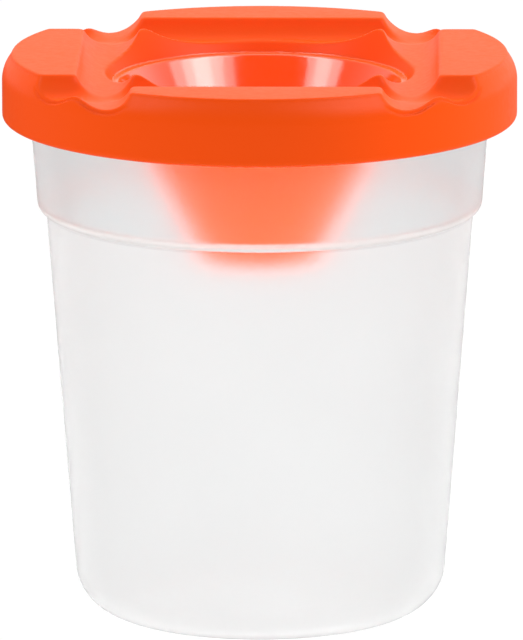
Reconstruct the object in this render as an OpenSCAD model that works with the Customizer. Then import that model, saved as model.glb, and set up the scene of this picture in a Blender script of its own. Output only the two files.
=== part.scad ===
// Water pot for washing paint brushes: a round frosted cup and a press-on lid
// whose top has four brush grooves around a funnel that goes down into the cup.
// Millimetres, +Z up. The origin is the centre of the flat base.

/* [Overall] */
// Height from the base to the top face of the lid
total_h = 93.95; // [90:0.05:104]
// Depth of the cup's rim below the top face of the lid
seat_d = 4.9; // [4.8:0.1:5.6]

/* [Cup] */
// Radius of the flat part of the base
base_r = 22.8; // [21:0.1:26]
// Radius of the round between the base and the side
base_round = 7.9; // [5:0.1:9]
// Outer radius of the body just below the step
body_top_r = 35.3; // [33:0.1:35.6]
// Height of the step between the body and the collar
step_z = 67.6; // [55:0.1:70]
// Height of the round between the step and the collar
step_h = 2; // [1.6:0.1:3]
// Outer radius of the collar just above the step
collar_low_r = 36.8; // [36.7:0.05:37.1]
// Outer radius of the collar under the rim
collar_top_r = 38.15; // [38.1:0.05:38.3]
// Thickness of the cup's side
cup_wall = 1.1; // [0.9:0.05:1.3]
// Thickness of the cup's base
base_t = 1.6; // [1.2:0.1:2.4]
// Outer radius of the rim's flange
rim_r = 40.5; // [40.2:0.05:40.6]
// Thickness of the rim's flange
rim_t = 1.3; // [1:0.1:1.6]
// Height of the turned-down edge of the flange
rim_edge_h = 2.4; // [2:0.1:2.8]
// Thickness of the turned-down edge of the flange
rim_edge_t = 1.2; // [1:0.1:1.5]

/* [Lid] */
// Outer radius of the lid's skirt
lid_r = 42.5; // [42.3:0.1:43.5]
// Height of the lid's rim, from the top face to the skirt's lower edge
skirt_h = 11.1; // [10.5:0.1:14]
// Radius of the lid's top face
top_r = 40.9; // [40.4:0.1:41.4]
// Height of the upright edge round the top face
edge_h = 0.7; // [0.4:0.1:1]
// Depth at which the curved shoulder meets the upright skirt
shoulder_h = 4.5; // [4:0.1:5]
// Radius of the round on the skirt's lower edge
skirt_round = 1.1; // [0.6:0.1:1.2]
// Wall thickness of the lid
lid_wall = 1.3; // [1:0.05:1.4]

/* [Brush grooves] */
// Distance of each groove from the middle
groove_x = 25; // [24:0.1:25.5]
// Radius of the groove's round section
groove_r = 4.95; // [4.6:0.05:5.4]
// Depth of the groove below the top face
groove_d = 3.2; // [2.6:0.1:3.3]
// Depth of the step at both ends of each groove
groove_step = 0.7; // [0.4:0.1:0.9]
// Distance of the step from the outside of the skirt
step_in = 0.6; // [0.4:0.1:1]

/* [Funnel] */
// Radius of the bowl where it meets the top face
bowl_r = 27.7; // [27:0.1:28.5]
// Radius of the funnel's mouth at the foot of the bowl
mouth_r = 24.4; // [23:0.1:25]
// Depth of the funnel's mouth below the top face
mouth_d = 4.9; // [4:0.1:6]
// Width of the flat ledge round the mouth
ledge_w = 1.2; // [0.6:0.1:1.6]
// Radius of the outlet at the bottom of the funnel
outlet_r = 8.5; // [5:0.1:10]
// Depth of the outlet below the top face
funnel_h = 34.2; // [28:0.1:50]
// Length of the straight part at the outlet
outlet_l = 1.6; // [1:0.1:4]
// Wall thickness of the funnel
funnel_wall = 1.5; // [1.2:0.1:1.8]

/* [Lid fit] */
// Radius of the sealing ring at its root
plug_r = 36.9; // [36.5:0.02:36.92]
// Depth of the sealing ring below the top face
plug_d = 9.4; // [8:0.1:10.5]
// Thickness of the sealing ring
plug_t = 1.2; // [1:0.1:1.5]
// Gap between the catch bead and the flange, all round
catch_gap = 0.05; // [0.03:0.01:0.1]

/* [Hidden] */
eps = 0.2;
top_z = total_h;
rim_z = total_h - seat_d;
skirt_z = total_h - skirt_h;

// Points on an arc from angle a0 to a1
function arc(cr, cz, r, a0, a1, n) =
  [for (i = [0:n]) let (a = a0 + (a1 - a0) * i / n) [cr + r * cos(a), cz + r * sin(a)]];

// Points on an oval arc from angle a0 to a1
function oval(cr, cz, rr, rz, a0, a1, n) =
  [for (i = [0:n]) let (a = a0 + (a1 - a0) * i / n) [cr + rr * cos(a), cz + rz * sin(a)]];

// Slope of the cup's side
draft = atan((body_top_r - base_r - base_round) / (step_z - base_round));
step_r = collar_low_r - body_top_r;

// Section of the cup, up the outside and down the inside
cup_section = concat(
  [[0, 0]],
  arc(base_r, base_round, base_round, -90, -draft, 10),
  oval(body_top_r, step_z + step_h, step_r, step_h, -90, 0, 8),
  [[collar_top_r, rim_z - rim_t],
   [rim_r - rim_edge_t, rim_z - rim_t],
   [rim_r - rim_edge_t, rim_z - rim_edge_h],
   [rim_r, rim_z - rim_edge_h]],
  arc(rim_r - 0.6, rim_z - 0.6, 0.6, 0, 90, 4),
  arc(collar_top_r - cup_wall + 0.5, rim_z - 0.5, 0.5, 90, 180, 4),
  oval(body_top_r, step_z + step_h, step_r - cup_wall, step_h - cup_wall, 0, -90, 5),
  arc(body_top_r - cup_wall + 0.5, step_z + cup_wall - 0.5, 0.5, 90, 180, 4),
  arc(base_r, base_round, base_round - cup_wall, -draft, -75, 8),
  [[base_r - 1.5, base_t], [0, base_t]]);

module cup() {
  color([0.92, 0.92, 0.93])
    rotate_extrude($fn = 180) polygon(cup_section);
}

// The shoulder is one arc that ends upright at the skirt
sh_w = lid_r - top_r - 0.15;
sh_d = shoulder_h - edge_h;
sh_r = (sh_w * sh_w + sh_d * sh_d) / (2 * sh_w);
sh_a = asin(sh_d / sh_r);

// Outside of the lid's rim, filled in
lid_section = concat(
  [[0, skirt_z]],
  arc(lid_r - skirt_round, skirt_z + skirt_round, skirt_round, -90, 0, 6),
  arc(lid_r - sh_r, top_z - shoulder_h, sh_r, 0, sh_a, 8),
  arc(top_r - 0.25, top_z - 0.25, 0.25, 0, 90, 3),
  [[0, top_z]]);

// Space under the lid, before the grooves and the funnel take their part
cavity_section = concat(
  [[0, skirt_z - eps], [lid_r - lid_wall, skirt_z - eps]],
  arc(lid_r - sh_r, top_z - shoulder_h, sh_r - lid_wall, 0, sh_a, 8),
  [[top_r - lid_wall, top_z - lid_wall], [0, top_z - lid_wall]]);

// Inside of the funnel with the bowl above it
bowl_slope = (bowl_r - mouth_r) / mouth_d;
throat_r = mouth_r - ledge_w;
funnel_slope = (throat_r - outlet_r) / (funnel_h - outlet_l - mouth_d);
funnel_inside = [
  [0, top_z + 1], [bowl_r + bowl_slope, top_z + 1],
  [mouth_r, top_z - mouth_d], [throat_r, top_z - mouth_d],
  [outlet_r, top_z - funnel_h + outlet_l],
  [outlet_r, top_z - funnel_h - 1],
  [0, top_z - funnel_h - 1]];

// Outside of the bowl and of the funnel, one wall further out
bowl_out = lid_wall * sqrt(1 + bowl_slope * bowl_slope);
funnel_out = funnel_wall * sqrt(1 + funnel_slope * funnel_slope);
knee_d = mouth_d + lid_wall * 0.6;
funnel_outside = [
  [0, top_z - eps], [bowl_r + bowl_out, top_z - eps],
  [bowl_r - bowl_slope * knee_d + bowl_out, top_z - knee_d],
  [throat_r - funnel_slope * (knee_d + 0.8 - mouth_d) + funnel_out, top_z - knee_d - 0.8],
  [outlet_r + funnel_wall, top_z - funnel_h + outlet_l - (funnel_out - funnel_wall) / funnel_slope],
  [outlet_r + funnel_wall, top_z - funnel_h],
  [0, top_z - funnel_h]];

// Four half-round brush grooves, two each way
module grooves(r) {
  for (a = [0, 90, 180, 270]) rotate([0, 0, a])
    translate([groove_x, 0, top_z - groove_d + groove_r]) rotate([90, 0, 0])
      cylinder(r = r, h = 2 * lid_r + 10, center = true, $fn = 96);
}

// Close to the skirt's outside each groove is wider and deeper by the step
module groove_ends() {
  difference() {
    grooves(groove_r + groove_step);
    translate([0, 0, top_z - 20]) cylinder(r = lid_r - step_in, h = 40, $fn = 180);
  }
}

// Ring with a given section
module ring(section) {
  rotate_extrude($fn = 180) polygon(section);
}

// Ring that stands on the cup's rim
seat_ring = [
  [38, rim_z], [39.3, rim_z], [39.3, top_z - lid_wall + eps], [38, top_z - lid_wall + eps]];

// Ring that closes the cup's mouth from inside
plug_ring = [
  [plug_r, rim_z], [plug_r - 0.32, top_z - plug_d + 0.8], [plug_r - 0.75, top_z - plug_d],
  [plug_r - plug_t, top_z - plug_d], [plug_r - plug_t, top_z - lid_wall + eps],
  [plug_r, top_z - lid_wall + eps]];

// Bead inside the skirt, just below the flange
catch_z = rim_z - rim_edge_h;
catch_bead = [
  [lid_r - lid_wall + eps, catch_z - 0.25], [lid_r - lid_wall + eps, catch_z - 2.6],
  [lid_r - lid_wall, catch_z - 2.6], [rim_r + catch_gap, catch_z - 1.6],
  [rim_r + catch_gap, catch_z - 0.9], [lid_r - lid_wall, catch_z - 0.25]];

module lid() {
  color([0.95, 0.3, 0.07])
  difference() {
    union() {
      difference() {
        union() {
          ring(lid_section);
          ring(funnel_outside);
        }
        difference() {
          ring(cavity_section);
          grooves(groove_r + lid_wall);
          ring(funnel_outside);
        }
      }
      ring(seat_ring);
      ring(plug_ring);
      ring(catch_bead);
    }
    grooves(groove_r);
    groove_ends();
    ring(funnel_inside);
  }
}

cup();
lid();
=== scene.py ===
import math

import bpy
import numpy as np
from mathutils import Matrix, Vector


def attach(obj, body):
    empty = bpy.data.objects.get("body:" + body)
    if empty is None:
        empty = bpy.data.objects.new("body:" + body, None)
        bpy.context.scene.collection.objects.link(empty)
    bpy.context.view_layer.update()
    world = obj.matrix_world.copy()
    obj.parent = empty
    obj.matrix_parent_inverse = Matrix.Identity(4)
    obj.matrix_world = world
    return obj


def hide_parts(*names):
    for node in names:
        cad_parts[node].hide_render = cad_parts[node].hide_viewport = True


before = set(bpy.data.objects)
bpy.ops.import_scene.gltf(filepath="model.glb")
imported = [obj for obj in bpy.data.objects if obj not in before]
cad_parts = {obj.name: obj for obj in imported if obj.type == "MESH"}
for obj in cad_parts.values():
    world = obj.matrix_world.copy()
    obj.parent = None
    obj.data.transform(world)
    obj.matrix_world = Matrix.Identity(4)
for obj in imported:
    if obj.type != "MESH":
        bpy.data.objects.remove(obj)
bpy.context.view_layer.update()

MM = 0.001

# ---------------------------------------------------------------- sizes, millimetres, as in the CAD
T = 93.95                    # top face of the lid
RIM = T - 4.9                # top of the cup's rim
SKIRT = T - 11.1             # lower edge of the skirt
LID_R = 42.48
TOP_R = 40.9
WALL = 1.3
GX, GR, GD = 25.0, 4.95, 3.2 # brush grooves: distance, radius, depth
STEP, STEP_IN = 0.7, 0.6     # step at both ends of each groove: depth, distance from the skirt's outside
BOWL_R, MOUTH_R, MOUTH_D = 27.7, 24.4, 4.9
THROAT_R = MOUTH_R - 1.2     # inner edge of the ledge round the funnel's mouth
OUT_R, OUT_D, OUT_L = 8.5, 34.2, 1.6
F_WALL = 1.5                 # wall of the funnel


def arc(cr, cz, r, a0, a1, n):
    return [(cr + r * math.cos(math.radians(a0 + (a1 - a0) * i / n)),
             cz + r * math.sin(math.radians(a0 + (a1 - a0) * i / n))) for i in range(n + 1)]


def oval(cr, cz, rr, rz, a0, a1, n):
    return [(cr + rr * math.cos(math.radians(a0 + (a1 - a0) * i / n)),
             cz + rz * math.sin(math.radians(a0 + (a1 - a0) * i / n))) for i in range(n + 1)]


# ---------------------------------------------------------------- distance functions for the lid
def smin(a, b, k):
    h = np.maximum(k - np.abs(a - b), 0) / k
    return np.minimum(a, b) - h * h * h * k / 6


def smax(a, b, k):
    return -smin(-a, -b, k)


def poly_sd(r, z, pts):
    """Signed distance to a closed outline in the (radius, height) plane, negative inside."""
    best = np.full(r.shape, 1e9)
    inside = np.zeros(r.shape, bool)
    for i in range(len(pts)):
        (ax, az), (bx, bz) = pts[i], pts[(i + 1) % len(pts)]
        ex, ez = bx - ax, bz - az
        length = ex * ex + ez * ez
        if length < 1e-12:
            continue
        wx, wz = r - ax, z - az
        t = np.clip((wx * ex + wz * ez) / length, 0, 1)
        np.minimum(best, (wx - ex * t) ** 2 + (wz - ez * t) ** 2, out=best)
        if ez:
            span = ((az <= z) & (z < bz)) | ((bz <= z) & (z < az))
            inside ^= span & (r < ax + (z - az) * ex / ez)
    best = np.sqrt(best)
    return np.where(inside, -best, best)


EDGE_H = 0.7
SH_W, SH_D = LID_R - TOP_R - 0.15, 4.5 - EDGE_H
SH_R = (SH_W ** 2 + SH_D ** 2) / (2 * SH_W)
SH_A = math.degrees(math.asin(SH_D / SH_R))
SH_C = LID_R - SH_R

DOME = ([(-6, SKIRT)] + arc(LID_R - 1.1, SKIRT + 1.1, 1.1, -90, 0, 12)
        + arc(SH_C, T - 4.5, SH_R, 0, SH_A, 24) + [(-6, T - EDGE_H)])
CAVITY = ([(-6, SKIRT - 6), (LID_R - WALL, SKIRT - 6)]
          + arc(SH_C, T - 4.5, SH_R - WALL, 0, SH_A, 16)
          + [(TOP_R - WALL, T - WALL), (-6, T - WALL)])
B_SL = (BOWL_R - MOUTH_R) / MOUTH_D
F_SL = (THROAT_R - OUT_R) / (OUT_D - OUT_L - MOUTH_D)
B_OUT = WALL * math.hypot(1, B_SL)
F_OUT = F_WALL * math.hypot(1, F_SL)
KNEE = MOUTH_D + WALL * 0.6
FUN_OUT = [(-6, T - 0.4), (BOWL_R + B_OUT, T - 0.4), (BOWL_R - B_SL * KNEE + B_OUT, T - KNEE),
           (THROAT_R - F_SL * (KNEE + 0.8 - MOUTH_D) + F_OUT, T - KNEE - 0.8),
           (OUT_R + F_WALL, T - OUT_D + OUT_L - (F_OUT - F_WALL) / F_SL), (OUT_R + F_WALL, T - OUT_D), (-6, T - OUT_D)]
BOWL_IN = [(-6, T + 8), (BOWL_R + B_SL * 8, T + 8), (MOUTH_R, T - MOUTH_D), (-6, T - MOUTH_D)]
FUN_IN = [(-6, T - MOUTH_D + 2), (THROAT_R, T - MOUTH_D + 2), (THROAT_R, T - MOUTH_D),
          (OUT_R, T - OUT_D + OUT_L), (OUT_R, T - OUT_D - 6), (-6, T - OUT_D - 6)]
CATCH = RIM - 2.4
RINGS = [
    [(38, RIM), (39.3, RIM), (39.3, T - WALL + 0.2), (38, T - WALL + 0.2)],
    [(36.9, RIM), (36.58, T - 8.6), (36.15, T - 9.4), (35.7, T - 9.4), (35.7, T - WALL + 0.2), (36.9, T - WALL + 0.2)],
    [(LID_R - WALL + 0.2, CATCH - 0.25), (LID_R - WALL + 0.2, CATCH - 2.6), (LID_R - WALL, CATCH - 2.6),
     (40.55, CATCH - 1.6), (40.55, CATCH - 0.9), (LID_R - WALL, CATCH - 0.25)],
]


def lid_sd(x, y, z):
    x, y = np.abs(x), np.abs(y)
    r = np.hypot(x, y)
    lift = z - (T - GD + GR)
    soft = 1.1 + 2.4 * np.clip((r - 35.4) / 5, 0, 1)                 # the ridge between two ends is rounder
    gd = smin(np.hypot(x - GX, lift), np.hypot(y - GX, lift), soft)  # distance to the nearest groove axis
    pad = np.maximum(smax(r - TOP_R - 0.05, z - T, 0.7), T - 3 - z)
    solid = smin(poly_sd(r, z, DOME), pad, 0.6)
    fo = poly_sd(r, z, FUN_OUT)
    solid = smin(solid, fo, 0.8)
    hollow = smax(poly_sd(r, z, CAVITY), GR + WALL - gd, 0.6)
    hollow = smax(hollow, -fo, 0.8)
    solid = smax(solid, -hollow, 0.5)
    for ring in RINGS:
        solid = smin(solid, poly_sd(r, z, ring), 0.35)
    solid = smax(solid, GR - gd, 0.85)
    ends = smax(gd - GR - STEP, LID_R - STEP_IN - r, 0.3)
    solid = smax(solid, -ends, 0.4)
    solid = smax(solid, -poly_sd(r, z, BOWL_IN), 0.6)
    return smax(solid, -poly_sd(r, z, FUN_IN), 0.35)


def gradient(x, y, z, e):
    return np.stack([lid_sd(x + e, y, z) - lid_sd(x - e, y, z),
                     lid_sd(x, y + e, z) - lid_sd(x, y - e, z),
                     lid_sd(x, y, z + e) - lid_sd(x, y, z - e)], 1) / (2 * e)


def settle(v, rounds):
    """Moves points onto the surface."""
    for _ in range(rounds):
        d = lid_sd(v[:, 0], v[:, 1], v[:, 2])
        g = gradient(v[:, 0], v[:, 1], v[:, 2], 0.03)
        g2 = np.maximum((g * g).sum(1), 0.2)
        v = v - g * np.clip(d / g2, -0.3, 0.3)[:, None]
    return v


def quarter_lid(h, hz_fine, hz_coarse):
    """Surface nets over the quarter x, y >= 0, with a row of cells across each mirror plane."""
    xs = (np.arange(int((LID_R + 1.2) / h) + 2) - 0.5) * h
    ys = xs.copy()
    zs = np.concatenate([np.arange(T - OUT_D - 0.9, SKIRT - 1.2, hz_coarse), np.arange(SKIRT - 1.2, T + 0.9, hz_fine)])
    nx, ny, nz = len(xs), len(ys), len(zs)
    # a coarse pass finds where the surface is, and only points near it are worked out
    step = 4
    ix = np.minimum(np.arange(0, nx + step, step), nx - 1)
    iz = np.minimum(np.arange(0, nz + step, step), nz - 1)
    cx, cy, cz = np.meshgrid(xs[ix], ys[ix], zs[iz], indexing="ij")
    coarse = lid_sd(cx.ravel(), cy.ravel(), cz.ravel()).reshape(cx.shape)
    at_x = np.clip(np.round(np.arange(nx) / step).astype(int), 0, len(ix) - 1)
    at_z = np.clip(np.round(np.arange(nz) / step).astype(int), 0, len(iz) - 1)
    f = coarse[np.ix_(at_x, at_x, at_z)].copy()
    near = np.abs(f) < 3.5 * h + 2.5 * hz_coarse
    i, j, k = np.nonzero(near)
    f[near] = lid_sd(xs[i], ys[j], zs[k])
    inside = f < 0
    total = np.zeros((nx - 1, ny - 1, nz - 1, 3))
    count = np.zeros((nx - 1, ny - 1, nz - 1))
    quads = []
    grid = (xs, ys, zs)
    edges = []
    for ax in range(3):
        lo = [slice(None)] * 3
        hi = [slice(None)] * 3
        lo[ax], hi[ax] = slice(0, -1), slice(1, None)
        a, b = f[tuple(lo)], f[tuple(hi)]
        cut = np.nonzero((a < 0) != (b < 0))
        t = a[cut] / (a[cut] - b[cut])
        p = np.stack([grid[n][cut[n]] for n in range(3)], 1).astype(float)
        g = grid[ax]
        p[:, ax] = g[cut[ax]] + t * (g[cut[ax] + 1] - g[cut[ax]])
        edges.append((cut, inside[cut]))
        u, w = (ax + 1) % 3, (ax + 2) % 3
        for du in (0, 1):
            for dw in (0, 1):
                c = [cut[0].copy(), cut[1].copy(), cut[2].copy()]
                c[u] -= du
                c[w] -= dw
                ok = (c[u] >= 0) & (c[w] >= 0) & (c[u] < total.shape[u]) & (c[w] < total.shape[w])
                c = tuple(q[ok] for q in c)
                np.add.at(count, c, 1)
                np.add.at(total, c, p[ok])
    used = count > 0
    number = np.full(used.shape, -1)
    number[used] = np.arange(int(used.sum()))
    v = total[used] / count[used][:, None]
    ci, cj, _ = np.nonzero(used)
    for ax in range(3):
        cut, was_in = edges[ax]
        u, w = (ax + 1) % 3, (ax + 2) % 3
        ok = (cut[u] >= 1) & (cut[w] >= 1) & (cut[u] < used.shape[u]) & (cut[w] < used.shape[w])
        cut = [q[ok] for q in cut]
        was_in = was_in[ok]

        def cell(du, dw):
            c = [q.copy() for q in cut]
            c[u] -= du
            c[w] -= dw
            return number[tuple(c)]

        q = np.stack([cell(1, 1), cell(0, 1), cell(0, 0), cell(1, 0)], 1)
        q[~was_in] = q[~was_in][:, ::-1]
        quads.append(q)
    quads = np.concatenate(quads)
    seam = (ci == 0, cj == 0)
    v[seam[0], 0] = 0
    v[seam[1], 1] = 0
    v = settle(v, 4)
    v[seam[0], 0] = 0
    v[seam[1], 1] = 0
    return v, quads, seam


def mirrored(v, q, seams, ax):
    zero = seams[ax]
    other = np.empty(len(v), int)
    other[zero] = np.nonzero(zero)[0]
    other[~zero] = len(v) + np.arange(int((~zero).sum()))
    flip = v[~zero].copy()
    flip[:, ax] *= -1
    q2 = other[q][:, ::-1]
    keep = [np.concatenate([s, s[~zero]]) for s in seams]
    return np.concatenate([v, flip]), np.concatenate([q, q2]), keep


def mesh_from(name, v, faces):
    """Mesh from an array of points in millimetres and one array of faces with equal sides."""
    me = bpy.data.meshes.new(name)
    n, k = faces.shape
    me.vertices.add(len(v))
    me.vertices.foreach_set("co", (np.asarray(v, dtype=np.float32) * MM).ravel())
    me.loops.add(n * k)
    me.loops.foreach_set("vertex_index", faces.astype(np.int32).ravel())
    me.polygons.add(n)
    me.polygons.foreach_set("loop_start", np.arange(0, n * k, k, dtype=np.int32))
    me.polygons.foreach_set("loop_total", np.full(n, k, dtype=np.int32))
    me.update(calc_edges=True)
    me.validate()
    return me


def put(name, me, body):
    ob = bpy.data.objects.new(name, me)
    bpy.context.scene.collection.objects.link(ob)
    if body:
        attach(ob, body)
    return ob


def smooth(me):
    me.polygons.foreach_set("use_smooth", np.ones(len(me.polygons), dtype=bool))
    me.update()


def points(me):
    v = np.empty(len(me.vertices) * 3, dtype=np.float32)
    me.vertices.foreach_get("co", v)
    return v.reshape(-1, 3).astype(float) / MM


def make_lid():
    v, q, seams = quarter_lid(0.36, 0.32, 0.7)
    v, q, seams = mirrored(v, q, seams, 0)
    v, q, seams = mirrored(v, q, seams, 1)
    me = mesh_from("lid_shell_raw", v, q)
    ob = bpy.data.objects.new("lid_shell_raw", me)
    bpy.context.scene.collection.objects.link(ob)
    thin = ob.modifiers.new("thin", "DECIMATE")
    thin.ratio = min(1.0, 150_000 / max(1, 2 * len(q)))
    done = bpy.data.meshes.new_from_object(ob.evaluated_get(bpy.context.evaluated_depsgraph_get()))
    done.name = "lid_shell"
    bpy.data.objects.remove(ob)
    bpy.data.meshes.remove(me)
    v = settle(points(done), 2)
    done.vertices.foreach_set("co", (v.astype(np.float32) * MM).ravel())
    smooth(done)
    g = gradient(v[:, 0], v[:, 1], v[:, 2], 0.12)
    g /= np.maximum(np.linalg.norm(g, axis=1), 1e-9)[:, None]
    done.normals_split_custom_set_from_vertices([tuple(n) for n in g])
    return done


# ---------------------------------------------------------------- the cup, one turned section
def cup_outline():
    base_r, rd, top_r, step_z, low_r, col_r, w, base_t = 22.8, 7.9, 35.3, 67.6, 36.8, 38.15, 1.1, 1.6
    rim_r, rim_t, edge_h, edge_t = 40.5, 1.3, 2.4, 1.2
    draft = math.degrees(math.atan((top_r - base_r - rd) / (step_z - rd)))
    st, sh = low_r - top_r, 2.0
    out = arc(base_r, rd, rd, -90, -draft, 22)
    out += [(top_r - 0.16 * math.tan(math.radians(draft)), step_z - 0.16)]
    out += oval(top_r + 0.05, step_z + sh, st - 0.05, sh, -88, 0, 20)
    out += arc(col_r + 0.35, RIM - rim_t - 0.35, 0.35, 180, 90, 5)
    out += [(rim_r - edge_t - 0.2, RIM - rim_t), (rim_r - edge_t, RIM - rim_t - 0.2)]
    out += arc(rim_r - edge_t / 2, RIM - edge_h + edge_t / 2, edge_t / 2, 180, 360, 10)
    out += arc(rim_r - 0.6, RIM - 0.6, 0.6, 0, 90, 6)
    out += arc(col_r - w + 0.5, RIM - 0.5, 0.5, 90, 180, 6)
    out += oval(top_r, step_z + sh, st - w, sh - w, 0, -90, 10)
    out += arc(top_r - w + 0.5, step_z + w - 0.5, 0.5, 90, 180, 6)
    out += arc(base_r, rd, rd - w, -draft, -75, 18)
    out += [(base_r - 1.5, base_t)]
    return out


def refine(pts, near=0.18, far=2.6):
    """Adds points close to both ends of each long stretch, and along it, so that its shading stays flat."""
    out = []
    for (ax, az), (bx, bz) in zip(pts[:-1], pts[1:]):
        out.append((ax, az))
        length = math.hypot(bx - ax, bz - az)
        if length > 3 * near:
            n = max(1, round((length - 2 * near) / far))
            cuts = [near + (length - 2 * near) * i / n for i in range(n + 1)]
            out += [(ax + (bx - ax) * c / length, az + (bz - az) * c / length) for c in cuts]
    out.append(pts[-1])
    return out


def make_cup(turns=288):
    pts = refine([(6.0, 0.0)] + cup_outline() + [(6.0, 1.6)])
    n = len(pts)
    ang = np.arange(turns) * 2 * math.pi / turns
    rr, zz = np.array(pts).T
    v = np.stack([np.outer(np.cos(ang), rr), np.outer(np.sin(ang), rr), np.tile(zz, (turns, 1))], 2).reshape(-1, 3)
    i, j = np.meshgrid(np.arange(turns), np.arange(n - 1), indexing="ij")
    a, b = i * n + j, ((i + 1) % turns) * n + j
    quads = np.stack([a, b, b + 1, a + 1], 2).reshape(-1, 4)
    me = mesh_from("cup_wall", v, quads)
    import bmesh
    bm = bmesh.new()
    bm.from_mesh(me)
    bm.verts.ensure_lookup_table()
    rings = [[bm.verts[k * n + at] for k in range(turns)] for at in (0, n - 1)]
    for ring, z, up in ((rings[0], 0.0, False), (rings[1], 1.6, True)):
        mid = bm.verts.new((0, 0, z * MM))
        for k in range(turns):
            p, q = ring[k], ring[(k + 1) % turns]
            bm.faces.new((mid, p, q) if up else (mid, q, p))
    bmesh.ops.recalc_face_normals(bm, faces=bm.faces)
    bm.to_mesh(me)
    bm.free()
    smooth(me)
    return me


# ---------------------------------------------------------------- materials
def new_material(name):
    m = bpy.data.materials.new(name)
    m.use_nodes = True
    m.node_tree.nodes.clear()
    return m, m.node_tree.nodes, m.node_tree.links


def noise(nodes, links, coord, scale, detail=3.0, rough=0.5):
    n = nodes.new("ShaderNodeTexNoise")
    n.inputs["Scale"].default_value = scale
    n.inputs["Detail"].default_value = detail
    n.inputs["Roughness"].default_value = rough
    links.new(coord, n.inputs["Vector"])
    return n


def ramp(nodes, links, value, lo, hi, to_lo, to_hi):
    m = nodes.new("ShaderNodeMapRange")
    m.inputs["From Min"].default_value, m.inputs["From Max"].default_value = lo, hi
    m.inputs["To Min"].default_value, m.inputs["To Max"].default_value = to_lo, to_hi
    links.new(value, m.inputs["Value"])
    return m.outputs["Result"]


def times(nodes, links, a, b, op="MULTIPLY"):
    m = nodes.new("ShaderNodeMath")
    m.operation = op
    for side, x in enumerate((a, b)):
        if isinstance(x, (int, float)):
            m.inputs[side].default_value = x
        else:
            links.new(x, m.inputs[side])
    return m.outputs[0]


def orange(name, color, dark, rough, spread, level, grain, grain_scale):
    m, nodes, links = new_material(name)
    out = nodes.new("ShaderNodeOutputMaterial")
    bsdf = nodes.new("ShaderNodeBsdfPrincipled")
    links.new(bsdf.outputs["BSDF"], out.inputs["Surface"])
    coord = nodes.new("ShaderNodeTexCoord").outputs["Object"]
    cloud = noise(nodes, links, coord, 55.0, 3.0)
    mix = nodes.new("ShaderNodeMix")
    mix.data_type = "RGBA"
    mix.inputs["A"].default_value = (*dark, 1)
    mix.inputs["B"].default_value = (*color, 1)
    links.new(ramp(nodes, links, cloud.outputs["Fac"], 0.3, 0.7, 0.0, 1.0), mix.inputs["Factor"])
    links.new(mix.outputs["Result"], bsdf.inputs["Base Color"])
    fine = noise(nodes, links, coord, 900.0, 2.0)
    links.new(ramp(nodes, links, fine.outputs["Fac"], 0.3, 0.7, rough - spread, rough + spread), bsdf.inputs["Roughness"])
    bsdf.inputs["IOR"].default_value = 1.49
    bsdf.inputs["Specular IOR Level"].default_value = level
    if grain:
        tex = noise(nodes, links, coord, grain_scale, 2.0, 0.6)
        bump = nodes.new("ShaderNodeBump")
        bump.inputs["Strength"].default_value = grain
        bump.inputs["Distance"].default_value = 0.00004
        links.new(tex.outputs["Fac"], bump.inputs["Height"])
        links.new(bump.outputs["Normal"], bsdf.inputs["Normal"])
    return m


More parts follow.
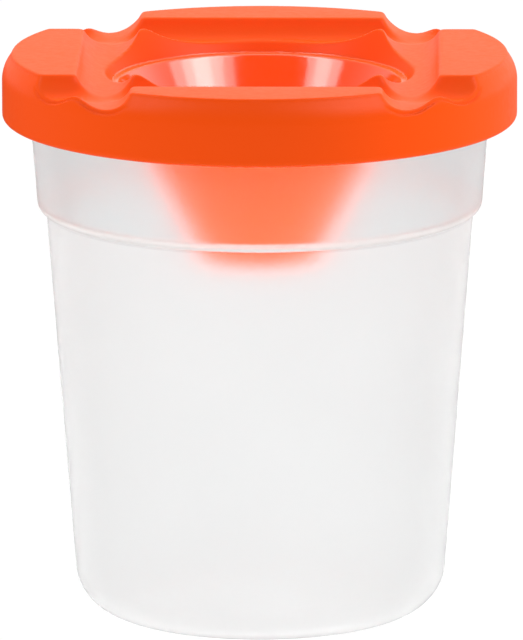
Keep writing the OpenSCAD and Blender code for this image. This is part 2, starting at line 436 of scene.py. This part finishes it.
def frosted(name):
    m, nodes, links = new_material(name)
    out = nodes.new("ShaderNodeOutputMaterial")
    bsdf = nodes.new("ShaderNodeBsdfPrincipled")
    links.new(bsdf.outputs["BSDF"], out.inputs["Surface"])
    coord = nodes.new("ShaderNodeTexCoord").outputs["Object"]
    cloud = noise(nodes, links, coord, 40.0, 3.0)
    mix = nodes.new("ShaderNodeMix")
    mix.data_type = "RGBA"
    mix.inputs["A"].default_value = (0.893, 0.895, 0.895, 1)
    mix.inputs["B"].default_value = (0.908, 0.910, 0.910, 1)
    links.new(ramp(nodes, links, cloud.outputs["Fac"], 0.3, 0.7, 0.0, 1.0), mix.inputs["Factor"])
    height = nodes.new("ShaderNodeSeparateXYZ")
    links.new(coord, height.inputs["Vector"])
    # the collar above the step gets a darker base colour: painted shade where the lid covers and shades the cup
    collar_painted_shade = nodes.new("ShaderNodeMix")
    collar_painted_shade.data_type = "RGBA"
    collar_painted_shade.inputs["B"].default_value = (0.824, 0.852, 0.857, 1)
    links.new(ramp(nodes, links, height.outputs["Z"], 0.0686, 0.0698, 0.0, 1.0), collar_painted_shade.inputs["Factor"])
    links.new(mix.outputs["Result"], collar_painted_shade.inputs["A"])
    fine = noise(nodes, links, coord, 700.0, 2.0)
    links.new(ramp(nodes, links, fine.outputs["Fac"], 0.3, 0.7, 0.44, 0.48), bsdf.inputs["Roughness"])
    bsdf.inputs["IOR"].default_value = 1.16
    # the frost catches a little of the room's light at flat angles
    bsdf.inputs["Sheen Weight"].default_value = 0.06
    bsdf.inputs["Sheen Roughness"].default_value = 0.5
    # the step's rounded corner lets less through and is given a pale colour: a painted highlight along the step
    up = ramp(nodes, links, height.outputs["Z"], 0.06745, 0.06765, 0.0, 1.0)
    down = ramp(nodes, links, height.outputs["Z"], 0.0680, 0.0689, 1.0, 0.0)
    painted_highlight_band = times(nodes, links, up, down)
    links.new(ramp(nodes, links, painted_highlight_band, 0.0, 1.0, 0.975, 0.12), bsdf.inputs["Transmission Weight"])
    painted_highlight_corner = nodes.new("ShaderNodeMix")
    painted_highlight_corner.data_type = "RGBA"
    painted_highlight_corner.inputs["B"].default_value = (0.66, 0.64, 0.63, 1)
    links.new(painted_highlight_band, painted_highlight_corner.inputs["Factor"])
    # and a thin line right under it is darker: painted shade in the corner under the step
    low = ramp(nodes, links, height.outputs["Z"], 0.06705, 0.06712, 0.0, 1.0)
    painted_shade_line = nodes.new("ShaderNodeMix")
    painted_shade_line.data_type = "RGBA"
    painted_shade_line.inputs["B"].default_value = (0.80, 0.80, 0.80, 1)
    links.new(times(nodes, links, low, times(nodes, links, 1.0, up, "SUBTRACT")), painted_shade_line.inputs["Factor"])
    links.new(collar_painted_shade.outputs["Result"], painted_shade_line.inputs["A"])
    links.new(painted_shade_line.outputs["Result"], painted_highlight_corner.inputs["A"])
    links.new(painted_highlight_corner.outputs["Result"], bsdf.inputs["Base Color"])
    return m


# ---------------------------------------------------------------- pieces
lid_me = make_lid()
satin = orange("orange_satin", (0.835, 0.0700, 0.0006), (0.82, 0.0685, 0.0005), 0.36, 0.03, 0.085, 0.30, 2600.0)
gloss = orange("orange_polished", (0.93, 0.090, 0.0012), (0.92, 0.089, 0.0010), 0.13, 0.02, 1.0, 0.0, 1.0)
lid_me.materials.append(satin)
lid_me.materials.append(gloss)
mid = np.empty(len(lid_me.polygons) * 3, dtype=np.float32)
lid_me.polygons.foreach_get("center", mid)
mid = mid.reshape(-1, 3) / MM
mid_r = np.hypot(mid[:, 0], mid[:, 1])
on_wall = (np.abs(poly_sd(mid_r, mid[:, 2], FUN_IN)) < 0.25) & (mid[:, 2] < T - MOUTH_D - 0.05)
on_ledge = (mid_r > THROAT_R - 0.4) & (mid_r < MOUTH_R + 0.12) & (np.abs(mid[:, 2] - T + MOUTH_D) < 0.35)
lid_me.polygons.foreach_set("material_index", (on_wall | on_ledge).astype(np.int32))
lid = put("lid_shell", lid_me, "lid")
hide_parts("lid")

cup_me = make_cup()
cup_me.materials.append(frosted("frosted_plastic"))
cup = put("cup_wall", cup_me, "cup")
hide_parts("cup")
cup.visible_shadow = False

# ---------------------------------------------------------------- floor, light, camera
scene = bpy.context.scene
scene.view_settings.view_transform = "Standard"
scene.view_settings.look = "None"


def by_ray(nodes, links, seen, bounced, shine):
    """One strength for what is seen directly or through the cup, one for diffuse light, one for reflections."""
    path = nodes.new("ShaderNodeLightPath")
    soft = times(nodes, links, path.outputs["Diffuse Depth"], 0.5, "GREATER_THAN")
    direct = times(nodes, links, 1.0, soft, "SUBTRACT")
    through = times(nodes, links, 1.0, path.outputs["Is Transmission Ray"], "SUBTRACT")
    mirror = times(nodes, links, direct, times(nodes, links, path.outputs["Is Glossy Ray"], through))
    rest = times(nodes, links, times(nodes, links, 1.0, mirror, "SUBTRACT"), soft, "SUBTRACT")
    # diffuse light that reaches the funnel through the cup's side is stronger
    inside = ramp(nodes, links, path.outputs["Is Transmission Ray"], 0.0, 1.0, 1.0, 3.0)
    soft_light = times(nodes, links, times(nodes, links, soft, bounced), inside)
    total = times(nodes, links, times(nodes, links, rest, seen), soft_light, "ADD")
    return times(nodes, links, total, times(nodes, links, mirror, shine), "ADD")


n = 64
ring = [(1.6 * math.cos(2 * math.pi * k / n), 1.6 * math.sin(2 * math.pi * k / n), 0.0) for k in range(n)]
fl = bpy.data.meshes.new("floor")
fl.from_pydata([(x, y, -0.0001) for x, y, _ in ring], [], [tuple(range(n))])
floor = bpy.data.objects.new("floor", fl)
scene.collection.objects.link(floor)
fm, nodes, links = new_material("floor_white")
out = nodes.new("ShaderNodeOutputMaterial")
# white to the eye and through the cup, dimmer as bounced light, and nearly dark in the lid's shine
glow = nodes.new("ShaderNodeEmission")
spot = nodes.new("ShaderNodeSeparateXYZ")
links.new(nodes.new("ShaderNodeTexCoord").outputs["Object"], spot.inputs["Vector"])
shine = ramp(nodes, links, spot.outputs["X"], -0.2, 0.25, 0.06, 0.45)
links.new(by_ray(nodes, links, 1.02, 1.25, shine), glow.inputs["Strength"])
links.new(glow.outputs["Emission"], out.inputs["Surface"])
fm.cycles.emission_sampling = "NONE"
fl.materials.append(fm)

world = bpy.data.worlds.new("studio")
scene.world = world
world.use_nodes = True
world.cycles.sampling_method = "NONE"
wn, wl = world.node_tree.nodes, world.node_tree.links
bg = wn["Background"]
bg.inputs["Color"].default_value = (1, 1, 1, 1)
sep = wn.new("ShaderNodeSeparateXYZ")
wl.new(wn.new("ShaderNodeTexCoord").outputs["Generated"], sep.inputs["Vector"])
shine = times(wn, wl, ramp(wn, wl, sep.outputs["Y"], -0.3, 0.5, 0.03, 0.70), ramp(wn, wl, sep.outputs["X"], -1.0, 1.0, 0.6, 1.6))
wings = ramp(wn, wl, times(wn, wl, sep.outputs["X"], 0.0, "ABSOLUTE"), 0.45, 0.85, 1.0, 1.8)
shine = times(wn, wl, shine, wings)
shine = times(wn, wl, shine, ramp(wn, wl, sep.outputs["Z"], 0.80, 0.95, 0.0, 1.3), "ADD")
dome = ramp(wn, wl, sep.outputs["Z"], 0.0, 1.0, 0.62, 1.25)
wl.new(by_ray(wn, wl, 1.02, dome, shine), bg.inputs["Strength"])


def softbox(name, az, el, dist, w, h, watts):
    """Area light that looks at the lid. az is measured from the camera's side towards +X."""
    a, e = math.radians(az), math.radians(el)
    d = (math.sin(a) * math.cos(e), -math.cos(a) * math.cos(e), math.sin(e))
    li = bpy.data.lights.new(name, "AREA")
    li.shape = "RECTANGLE"
    li.size, li.size_y = w, h
    li.energy = watts
    ob = bpy.data.objects.new(name, li)
    ob.location = (dist * d[0], dist * d[1], 0.08 + dist * d[2])
    ob.rotation_euler = Vector((-d[0], -d[1], -d[2])).to_track_quat("-Z", "Y").to_euler()
    scene.collection.objects.link(ob)
    return ob


# the boxes light the lid; the cup gets its light from the white room
lid_only = bpy.data.collections.new("lid_only")
lid_only.objects.link(lid)
# two tall boxes for the shine in the funnel, each a bright strip in a wider, fainter one
for box in (softbox("softbox_right", 60, 43, 1.18, 0.28, 0.80, 2.0),
            softbox("softbox_right_mid", 60, 43, 1.20, 0.65, 0.80, 5.0),
            softbox("softbox_right_wide", 62, 43, 1.22, 1.10, 0.80, 8.0),
            softbox("softbox_left", -64, 42, 1.18, 0.24, 0.80, 1.6),
            softbox("softbox_left_wide", -66, 42, 1.20, 0.56, 0.80, 5.0)):
    box.visible_transmission = False
    box.visible_diffuse = False
    box.light_linking.receiver_collection = lid_only
# one from behind and above that brightens only what faces up
back = softbox("softbox_back", 180, 38, 1.20, 1.10, 0.50, 22.0)
# and two low ones that brighten the sides of the skirt
low_right = softbox("softbox_low_right", 100, 3, 1.20, 0.50, 0.20, 8.0)
low_left = softbox("softbox_low_left", -100, 3, 1.20, 0.50, 0.20, 2.8)
for box in (back, low_right, low_left):
    box.visible_transmission = False
    box.visible_glossy = False
    box.light_linking.receiver_collection = lid_only

D, CZ, AZ, DIP, ROLL = 1.7776, 0.4367, 0.95, 12.315, 0.107
F_PX = 10980.6
cam_data = bpy.data.cameras.new("camera")
cam_data.sensor_width = 36.0
cam_data.lens = F_PX / 640 * 36.0
cam_data.clip_start, cam_data.clip_end = 0.05, 20.0
cam = bpy.data.objects.new("camera", cam_data)
a = math.radians(AZ)
cam.location = (D * math.sin(a), -D * math.cos(a), CZ)
turn = (Matrix.Rotation(a - math.atan(1.5 / F_PX), 4, "Z") @ Matrix.Rotation(math.radians(90 - DIP), 4, "X")
        @ Matrix.Rotation(-math.radians(ROLL), 4, "Z"))
cam.rotation_euler = turn.to_euler()
scene.collection.objects.link(cam)
scene.camera = cam
